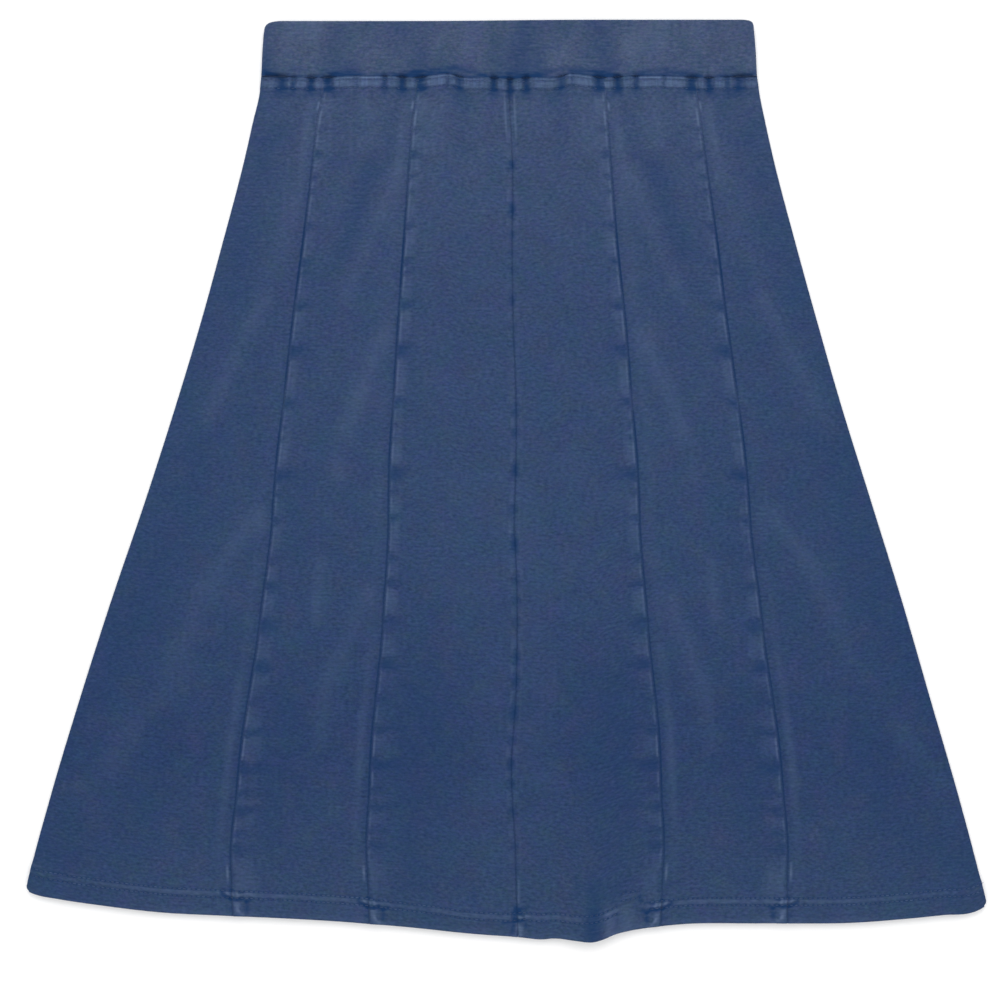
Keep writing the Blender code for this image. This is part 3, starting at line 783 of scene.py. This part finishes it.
# The waistband: one strip folded round a wide elastic and sewn in a ring
band = {
    "height": 0.035,
    "wall": 0.0026,
    "hollow": 0.0008,
    "lowRound": 0.00003,  # how far the lower edge is rounded
    "easedEdge": 0.003,  # over which the face comes to the gores' height
    "leftSag": 0.0008,  # the upper fold lies lower at the left, up to the next place
    "sagFrom": -0.06,
    "sagOver": 0.115,
    "frontCells": 230,
    "backCells": 90,
    "foldCells": 16,
    "faceCells": 40,
    "roundCells": 8,
    "ripple": 0.00018,
    "ripplePitch": 0.036,
    "sink": 0.00035,  # how far the middle of the face sinks in
    "backGrain": 0.4,  # moves the back's pattern on, so that it isn't the front's
    "cloud": 0.17,  # how uneven the wash is
    "smallCloud": 0.15,
    "edgeShadow": 0.55,  # how dark the painted shadow right over the seam is
    "crease": 1.1,  # share of its painted shade that a crease shows
}

# Shallow arcs pressed into the band above the seam, darkened with painted shade. columns: as for the
# creases
bandCreases = metres(6, [
    (-69.7, 35.2, -41.6, 31.6, 3, 0.4, -0.5), (-41.6, 31.6, -32.2, 30.2, 2.8, 0.3, -0.36),
    (-32.2, 30.2, -13.4, 34.8, 2.8, 0.3, -0.42), (69.7, 35.2, 45.3, 31.6, 3, 0.4, -0.5),
    (45.3, 31.6, 35.9, 30.2, 2.8, 0.3, -0.36), (35.9, 30.2, 17.2, 34.8, 2.8, 0.3, -0.42),
    (-110, 34, -97.8, 32.6, 2.6, 0.35, -0.4), (-97.8, 32.6, -89, 33.8, 2.2, 0.3, -0.28),
    (120.9, 34.8, 99.1, 31.8, 2.6, 0.35, -0.42), (99.1, 31.8, 80.3, 33.8, 2.4, 0.3, -0.32),
    (-153, 32.5, -144, 34.5, 3, 0.1, -0.3), (156.2, 32.5, 148, 34.5, 3, 0.1, -0.3),
    (-9, 35, 13, 35, 4, 0.3, -0.3),
])


def bandSection():  # round the wall from its upper fold: share of the drop, and depth from outside
    face = np.linspace(0.0, 1.0, band["faceCells"] + 1)[1:-1]
    face = 0.02 + 0.96 * (face**0.85)
    turn = np.linspace(0.0, np.pi, band["roundCells"] + 1)
    radius = band["wall"] / 2
    lowEdge = 1.0 - band["lowRound"] / band["height"] * (1.0 - np.sin(turn))
    topEdge = radius / band["height"] * (1.0 - np.sin(turn))
    inner = np.linspace(0.95, 0.05, 9)
    share = np.concatenate([topEdge[::-1], face, lowEdge, inner])
    outside, inside = np.zeros(len(face)), np.full(len(inner), band["wall"])
    depth = np.concatenate([radius * (1.0 + np.cos(turn)), outside, radius * (1.0 - np.cos(turn)), inside])
    keep = np.concatenate([[True], np.hypot(np.diff(share) * band["height"], np.diff(depth)) > 1e-5])
    return share[keep], depth[keep]


def waistband(material):
    share, depth = bandSection()
    stations = band["frontCells"] + band["backCells"] + 2 * band["foldCells"]
    piece = newPiece("waistbandCloth", countedGrid(stations, len(share), 1.0))
    places = readPlaces(piece)
    station = np.rint(places[:, 0]).astype(int) % stations
    corner = np.rint(places[:, 1]).astype(int) % len(share)

    radius = band["wall"] + band["hollow"] / 2
    part = share[corner]
    reach = radius - depth[corner]
    left = through(bandSides, 1, part * band["height"]) + radius
    right = through(bandSides, 2, part * band["height"]) - radius
    ends = np.cumsum([band["frontCells"], band["foldCells"], band["backCells"], band["foldCells"]])
    onFront = station <= ends[0]
    onBack = (station >= ends[1]) & (station <= ends[2])
    roundRight = (station > ends[0]) & (station < ends[1])
    forward = np.clip(station / ends[0], 0.0, 1.0)
    backward = np.clip((station - ends[1]) / band["backCells"], 0.0, 1.0)
    rightTurn = np.pi / 2 - np.pi * (station - ends[0]) / band["foldCells"]
    leftTurn = -np.pi / 2 - np.pi * (station - ends[2]) / band["foldCells"]
    turn = np.where(roundRight, rightTurn, leftTurn)
    x = np.where(onFront, left + (right - left) * forward, right + (left - right) * backward)
    folded = np.where(roundRight, right, left) + reach * np.cos(turn)
    x = np.where(onFront | onBack, x, folded)
    height = np.where(onFront, radius + reach, radius - reach)
    height = np.where(onFront | onBack, height, radius + reach * np.sin(turn))
    upperFold = band["leftSag"] * fade(x, band["sagFrom"], band["sagOver"])
    drop = upperFold + part * (waistDrop(x) - upperFold)

    onFace = (depth[corner] < 1e-6) & onFront
    rise = band["ripple"] * np.sin(2 * np.pi * x / band["ripplePitch"] + 0.9)
    rise = rise - band["sink"] * bump(part - 0.5, 0.5) + 0.00012 * swell(x, drop, 0.028, 1.3)
    clouds = (swell(x, drop * 0.6, 0.06, 3.7), swell(x, drop * 0.7, 0.024, 0.4))
    shade = band["cloud"] * clouds[0] + band["smallCloud"] * clouds[1]
    shade = shade - 0.26 * bump(fromMiddle(x), 0.03) - 0.12 * bump(fromMiddle(x) - 0.056, 0.015)
    shade = shade - 0.12 * bump(x - bandSides[-1][1], 0.04)
    pressed, creaseShade = np.zeros_like(x), np.zeros_like(x)
    for startX, startDrop, endX, endDrop, halfWidth, deep, tone in bandCreases:
        away = bump(awayFrom(x, drop, startX, startDrop, endX, endDrop), halfWidth)
        pressed, creaseShade = np.maximum(pressed, deep * away), np.minimum(creaseShade, tone * away)
    # the creases' painted shade
    rise, shade = rise - pressed, shade + band["crease"] * creaseShade
    toEdge = waistDrop(x) - drop
    # painted shadow along the band's lower edge; the face also darkens towards that edge
    shade = shade - band["edgeShadow"] * fade(toEdge, over=0.0024) - 0.1 * bump(toEdge, 0.008)
    shade = shade - 0.14 * fade(toEdge, over=0.023)
    besideGores = frontForm(x, waistDrop(x) + 0.0001)[1]
    fromEnd = np.minimum(x - bandSides[-1][1], bandSides[-1][2] - x)
    meeting = fade(toEdge, over=band["easedEdge"]) * (0.35 + 0.65 * ease(fromEnd, over=0.012))
    height = height + np.where(onFace, rise * (1.0 - meeting) + (besideGores - height) * meeting, 0.0)
    height = np.maximum(height, 0.0)
    writePlaces(piece, np.stack([x, topLine - drop, height], axis=1))
    across = np.where(onFront, x, band["backGrain"] - x)
    grain = np.stack([across, drop, np.full(len(x), 3.0)], axis=1)
    writeMarks(piece, shade, grain, np.full((len(x), 3), 1.0))

    mesh = bmesh.new()
    mesh.from_mesh(piece.data)
    bmesh.ops.remove_doubles(mesh, verts=mesh.verts, dist=1e-6)
    bmesh.ops.recalc_face_normals(mesh, faces=mesh.faces[:])
    mesh.to_mesh(piece.data)
    mesh.free()
    finishPiece(piece, material, 70.0)
    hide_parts("waistband")


# Thread of the topstitching and the coverstitch
stitching = {
    "pitch": 0.003,
    "length": 0.0021,
    "width": 0.00046,
    "flat": 0.7,  # its height as a share of its width
    "sides": 6,
    "rings": 4,
    "proud": 0.00008,  # how far its middle stands off the cloth
    "hemEnd": 0.2985,  # x past which the hem has none, on each side
    "waist": (-0.153, 0.156),
    "hidden": 0.35,  # depth of a tuck that hides them
}

# Stretches of the hem where folds hide the rows. columns: start x, end x
hemBreaks = metres(2, [(69.4, 71.6), (83.8, 88)])


def stitchRow(mesh, x, drop, height, outward):  # one capsule of thread for each pair of places
    points = np.stack([x, topLine - drop, height + stitching["proud"] * outward], axis=1)
    half = stitching["width"] / 2
    for start, end in zip(points[0::2], points[1::2]):
        middle, run = Vector((start + end) / 2), Vector(end - start)
        turn = run.to_track_quat("X", "Z").to_matrix().to_4x4()
        size = Matrix.Diagonal((run.length / 2, half, half * stitching["flat"], 1.0))
        bmesh.ops.create_uvsphere(
            mesh,
            u_segments=stitching["sides"],
            v_segments=stitching["rings"],
            radius=1.0,
            matrix=Matrix.Translation(middle) @ turn @ size,
        )


def stitchEnds(runs, places):  # x of the two ends of each stitch along a row
    count = int(runs[-1] / stitching["pitch"])
    middles = (np.arange(count) + 0.5) * stitching["pitch"]
    half = stitching["length"] / 2
    ends = np.stack([middles - half, middles + half], axis=1).ravel()
    return np.interp(ends, runs, places)


def stitches(name, side, kind, material):
    front = side == "front"
    mesh = bmesh.new()
    for rowName in ("upperRow", "lowerRow"):
        if kind == "hem":
            x = stitchEnds(hemRuns, hemSamples)
            inside = np.repeat((x[0::2] > -stitching["hemEnd"]) & (x[1::2] < stitching["hemEnd"]), 2)
            broken = np.zeros(len(x), dtype=bool)
            for start, end in hemBreaks:
                broken |= np.repeat((x[0::2] < end) & (x[1::2] > start), 2)
            x = x[inside & ~broken]
            drop = hemDrop(x) - hem[rowName] - climb(x)
        else:
            samples = np.linspace(*stitching["waist"], 2000)
            x = stitchEnds(samples - samples[0], samples)
            x = x[np.repeat(valley(x[0::2]) < stitching["hidden"], 2)]
            drop = waistDrop(x) + gathering[rowName]
        outer = (frontForm if front else backForm)(x, drop)[1]
        stitchRow(mesh, x, drop, outer, 1.0 if front else 2.0)
    piece = newPiece(name, mesh)
    finishPiece(piece, material, 80.0)


def linear(value):  # a display value from 0 to 255 as the shader takes it
    share = value / 255.0
    return share / 12.92 if share <= 0.04045 else ((share + 0.055) / 1.055) ** 2.4


def blue(colour):  # as the studio's light needs it
    return (*(linear(part) * clothLook["gain"] for part in colour), 1.0)


clothLook = {
    "gain": 0.665,  # from a colour of the photograph to that of the cloth
    "bandBlue": (73, 89, 121),
    "drops": (  # share of the length, then the colour there
        (0.06, (66, 84, 119)),
        (0.3, (55, 76, 115)),
        (0.55, (51, 74, 113)),
        (0.8, (43, 66, 108)),
        (0.96, (52, 75, 112)),
    ),
    # dark blue of painted shade, and of the cloth's darker tone
    "ditch": (20, 57, 104),
    # pale blue of wear, and of painted highlight
    "wornAndLit": (99, 119, 155),
    "patches": (  # how many a metre, and the two blues that they lean to
        ((70.0, 85.0), (52, 70, 123), (61, 80, 103)),
        ((64.0, 46.0), (63, 70, 115), (42, 79, 107)),
    ),
    "patch": 1.5,
    "grainSize": (385.0, 650.0),
    "grain": 0.6,
    "speck": 0.2,
    "grainByChannel": (1.12, 1.0, 0.78),
    "courseSize": (110.0, 700.0),
    "course": 0.2,
    "mottleSize": (60.0, 85.0),
    "mottle": 0.1,
    "cloudSize": (16.0, 22.0),
    "cloud": 0.04,
    "ribSize": (620.0, 70.0),
    "rib": 0.4,  # upright ribs across the strip of the waist seam
    "stripTint": (0.98, 1.04, 1.05),
    "relief": 0.00014,
    "holeHalf": 0.00095,
    "hole": 0.9,
    "surface": {
        "Roughness": 0.92,
        "Specular IOR Level": 0.1,
        "Sheen Weight": 0.06,
        "Sheen Roughness": 0.55,
    },
}

threadLook = {
    "dark": (32, 58, 104),
    "light": (74, 102, 148),
    "patchSize": (90.0, 90.0),
    "surface": {"Roughness": 0.75, "Sheen Weight": 0.1},
}


def newMaterial(name, surface):  # with its fixed sockets set
    material = bpy.data.materials.new(name)
    material.use_nodes = True
    shader = material.node_tree.nodes["Principled BSDF"]
    for socket, value in surface.items():
        shader.inputs[socket].default_value = value
    return material, material.node_tree, shader


def node(tree, kind, **settings):
    made = tree.nodes.new(kind)
    for name, value in settings.items():
        setattr(made, name, value)
    return made


def calc(tree, operation, first, second=None, clamp=False):  # a Math node on sockets or numbers
    made = node(tree, "ShaderNodeMath", operation=operation, use_clamp=clamp)
    for place, value in enumerate((first, second)):
        if isinstance(value, bpy.types.NodeSocket):
            tree.links.new(value, made.inputs[place])
        elif value is not None:
            made.inputs[place].default_value = value
    return made.outputs[0]


def mixed(tree, share, first, second, way="MIX"):
    made = node(tree, "ShaderNodeMix", data_type="RGBA", blend_type=way)
    for socket, value in ((made.inputs[0], share), (made.inputs[6], first), (made.inputs[7], second)):
        if isinstance(value, bpy.types.NodeSocket):
            tree.links.new(value, socket)
        else:
            socket.default_value = value
    return made.outputs[2]


def noise(tree, vector, size, detail, roughness, output="Fac"):  # size is in patches a metre
    mapping = node(tree, "ShaderNodeMapping")
    mapping.inputs["Scale"].default_value = (*size, 20.0)
    tree.links.new(vector, mapping.inputs["Vector"])
    made = node(tree, "ShaderNodeTexNoise")
    made.inputs["Scale"].default_value = 1.0
    made.inputs["Detail"].default_value = detail
    made.inputs["Roughness"].default_value = roughness
    tree.links.new(mapping.outputs["Vector"], made.inputs["Vector"])
    return made.outputs[output]


def aroundOne(tree, value, depth):  # noise from 0 to 1 as a factor about 1
    return calc(tree, "ADD", calc(tree, "MULTIPLY", value, 2.0 * depth), 1.0 - depth)


def needleHoles(tree, sewing):  # 1 in the holes between the stitches of both rows
    run, above = sewing.outputs[:2]
    total = None
    for height in (hem["lowerRow"], hem["upperRow"]):
        fromHole = calc(tree, "POWER", calc(tree, "PINGPONG", run, stitching["pitch"] / 2), 2.0)
        fromRow = calc(tree, "POWER", calc(tree, "SUBTRACT", above, height), 2.0)
        away = calc(tree, "SQRT", calc(tree, "ADD", fromHole, fromRow))
        share = calc(tree, "DIVIDE", away, clothLook["holeHalf"])
        hole = calc(tree, "SUBTRACT", 1.0, share, clamp=True)
        total = hole if total is None else calc(tree, "MAXIMUM", total, hole)
    return total


def dyedBase(tree, place):  # the blue of the gores, which changes down the skirt
    axes = node(tree, "ShaderNodeSeparateXYZ")
    tree.links.new(place, axes.inputs[0])
    down = calc(tree, "SUBTRACT", topLine, axes.outputs["Y"])
    ramp = node(tree, "ShaderNodeValToRGB")
    tree.links.new(calc(tree, "DIVIDE", down, skirt["length"]), ramp.inputs[0])
    stops = ramp.color_ramp.elements
    while len(stops) < len(clothLook["drops"]):
        stops.new(0.5)
    for stop, (share, colour) in zip(stops, clothLook["drops"]):
        stop.position = share
        stop.color = blue(colour)
    return ramp.outputs[0]


def denim(name, onBand=False):
    look = clothLook
    material, tree, shader = newMaterial(name, look["surface"])
    place = node(tree, "ShaderNodeTexCoord").outputs["Object"]
    cloth = node(tree, "ShaderNodeAttribute", attribute_name="grain").outputs["Vector"]
    shade = node(tree, "ShaderNodeAttribute", attribute_name="shade").outputs["Fac"]
    base = blue(look["bandBlue"]) if onBand else dyedBase(tree, place)

    for size, overBlue, underBlue in look["patches"]:
        patch = noise(tree, cloth, size, 2.0, 0.5)
        over = calc(tree, "SUBTRACT", patch, 0.51, clamp=True)
        under = calc(tree, "SUBTRACT", 0.49, patch, clamp=True)
        for value, colour in ((over, overBlue), (under, underBlue)):
            share = calc(tree, "MULTIPLY", value, look["patch"], clamp=True)
            base = mixed(tree, share, base, blue(colour))

    grain = noise(tree, cloth, look["grainSize"], 2.0, 0.6)
    course = noise(tree, cloth, look["courseSize"], 2.0, 0.6)
    mottle = noise(tree, cloth, look["mottleSize"], 2.0, 0.5)
    cloud = noise(tree, cloth, look["cloudSize"], 1.0, 0.5)
    factor = aroundOne(tree, grain, look["grain"])
    for value, depth in ((course, look["course"]), (mottle, look["mottle"]), (cloud, look["cloud"])):
        factor = calc(tree, "MULTIPLY", factor, aroundOne(tree, value, depth))
    tint = node(tree, "ShaderNodeCombineColor")
    for socket, strength in zip(tint.inputs, look["grainByChannel"]):
        offset = calc(tree, "MULTIPLY", calc(tree, "SUBTRACT", factor, 1.0), strength)
        tree.links.new(calc(tree, "ADD", offset, 1.0), socket)
    base = mixed(tree, 1.0, base, tint.outputs[0], "MULTIPLY")
    speck = node(tree, "ShaderNodeVectorMath", operation="MULTIPLY_ADD")
    tree.links.new(noise(tree, cloth, look["grainSize"], 1.0, 0.5, "Color"), speck.inputs[0])
    speck.inputs[1].default_value = (2.0 * look["speck"],) * 3
    speck.inputs[2].default_value = (1.0 - look["speck"],) * 3
    base = mixed(tree, 1.0, base, speck.outputs[0], "MULTIPLY")

    uneven = calc(tree, "MULTIPLY", calc(tree, "SUBTRACT", course, 0.5), 1.6)
    wornAndLit = calc(tree, "ADD", shade, calc(tree, "MULTIPLY", uneven, calc(tree, "ABSOLUTE", shade)))
    pale = calc(tree, "MULTIPLY", wornAndLit, 1.0, clamp=True)  # the shade's part above 0, wear and painted highlight
    base = mixed(tree, pale, base, blue(look["wornAndLit"]))
    sunk = calc(tree, "MULTIPLY", wornAndLit, -1.0, clamp=True)  # and its part below, painted shade and the cloth's darker tone
    if not onBand:
        sewing = node(tree, "ShaderNodeAttribute", attribute_name="sewing").outputs["Vector"]
        split = node(tree, "ShaderNodeSeparateXYZ")
        tree.links.new(sewing, split.inputs[0])
        holes = calc(tree, "MULTIPLY", needleHoles(tree, split), look["hole"])
        sunk = calc(tree, "MAXIMUM", sunk, holes)
        ribs = aroundOne(tree, noise(tree, cloth, look["ribSize"], 2.0, 0.5), look["rib"])
        beyond = calc(tree, "DIVIDE", split.outputs[2], 1.3 * gathering["stripEnd"])
        onStrip = calc(tree, "SUBTRACT", 1.0, calc(tree, "POWER", beyond, 4.0), clamp=True)
        ribbed = node(tree, "ShaderNodeCombineColor")
        for socket, tone in zip(ribbed.inputs, look["stripTint"]):
            tree.links.new(calc(tree, "MULTIPLY", ribs, tone), socket)
        base = mixed(tree, onStrip, base, mixed(tree, 1.0, base, ribbed.outputs[0], "MULTIPLY"))
    base = mixed(tree, sunk, base, blue(look["ditch"]))
    tree.links.new(base, shader.inputs["Base Color"])

    relief = calc(tree, "ADD", calc(tree, "MULTIPLY", course, 0.5), calc(tree, "MULTIPLY", grain, 0.6))
    bumping = node(tree, "ShaderNodeBump")
    bumping.inputs["Distance"].default_value = look["relief"]
    bumping.inputs["Strength"].default_value = 1.0
    tree.links.new(relief, bumping.inputs["Height"])
    tree.links.new(bumping.outputs["Normal"], shader.inputs["Normal"])
    return material


def threadMaterial():
    material, tree, shader = newMaterial("dyedThread", threadLook["surface"])
    place = node(tree, "ShaderNodeTexCoord").outputs["Object"]
    patch = noise(tree, place, threadLook["patchSize"], 2.0, 0.6)
    share = calc(tree, "MULTIPLY", calc(tree, "SUBTRACT", patch, 0.38), 2.6, clamp=True)
    colour = mixed(tree, share, blue(threadLook["dark"]), blue(threadLook["light"]))
    tree.links.new(colour, shader.inputs["Base Color"])
    return material


studio = {
    "photoPixel": 0.000625,  # width that one pixel of the photograph covers
    "photoMiddle": (-0.0041, 0.3),  # x and drop at the middle of the photograph
    "lens": 100.0,
    "floorSide": 6.0,
    "floorDrop": 0.0004,  # so that no face of the skirt lies in it
    "clothHeight": 0.0035,  # the photograph's scale is that of the cloth's upper face
    "floorGrey": 0.98,
    "worldStrength": 1.09,
    "keyEnergy": 13.3,
    "keySize": 1.6,
    "keyHeight": 1.7,
    "keyBack": 1.25,  # towards the waist's side
}


def floor():
    mesh = bmesh.new()
    bmesh.ops.create_grid(mesh, x_segments=1, y_segments=1, size=studio["floorSide"] / 2)
    bmesh.ops.translate(mesh, vec=(0.0, 0.0, -studio["floorDrop"]), verts=mesh.verts)
    piece = newPiece("floor", mesh)
    grey = (*(studio["floorGrey"],) * 3, 1.0)
    surface = {"Base Color": grey, "Roughness": 0.9, "Specular IOR Level": 0.0}
    piece.data.materials.append(newMaterial("paleFloor", surface)[0])


def lightsAndCamera():
    scene = bpy.context.scene
    scene.view_settings.view_transform = "Standard"
    world = bpy.data.worlds.new("softRoom")
    world.use_nodes = True
    glow = world.node_tree.nodes["Background"]
    glow.inputs["Color"].default_value = (1.0, 1.0, 1.0, 1.0)
    glow.inputs["Strength"].default_value = studio["worldStrength"]
    scene.world = world
    key = bpy.data.lights.new("keyLight", "AREA")
    key.energy, key.size = studio["keyEnergy"], studio["keySize"]
    lamp = bpy.data.objects.new("keyLight", key)
    lamp.location = (0.0, studio["keyBack"], studio["keyHeight"])
    lamp.rotation_euler = (-Vector(lamp.location)).to_track_quat("-Z", "Y").to_euler()
    scene.collection.objects.link(lamp)

    camera = bpy.data.cameras.new("camera")
    camera.lens = studio["lens"]
    eye = bpy.data.objects.new("camera", camera)
    away = 1000 * studio["photoPixel"] * camera.lens / camera.sensor_width
    middleX, middleDrop = studio["photoMiddle"]
    eye.location = (middleX, topLine - middleDrop, away + studio["clothHeight"])
    scene.collection.objects.link(eye)
    scene.camera = eye


bandDenim = denim("bandDenim", onBand=True)
goreDenim = denim("goreDenim")
backDenim = denim("backDenim")
print("materials made")

waistband(bandDenim)
print("waistband made")
for line in range(6):
    gore("back", line, backDenim)
    gore("front", line, goreDenim)
    print("gores made:", line + 1)

thread = threadMaterial()
stitches("waistStitches", "front", "waist", thread)
stitches("hemStitches", "front", "hem", thread)
stitches("backWaistStitches", "back", "waist", thread)
stitches("backHemStitches", "back", "hem", thread)
print("stitches made")

floor()
lightsAndCamera()

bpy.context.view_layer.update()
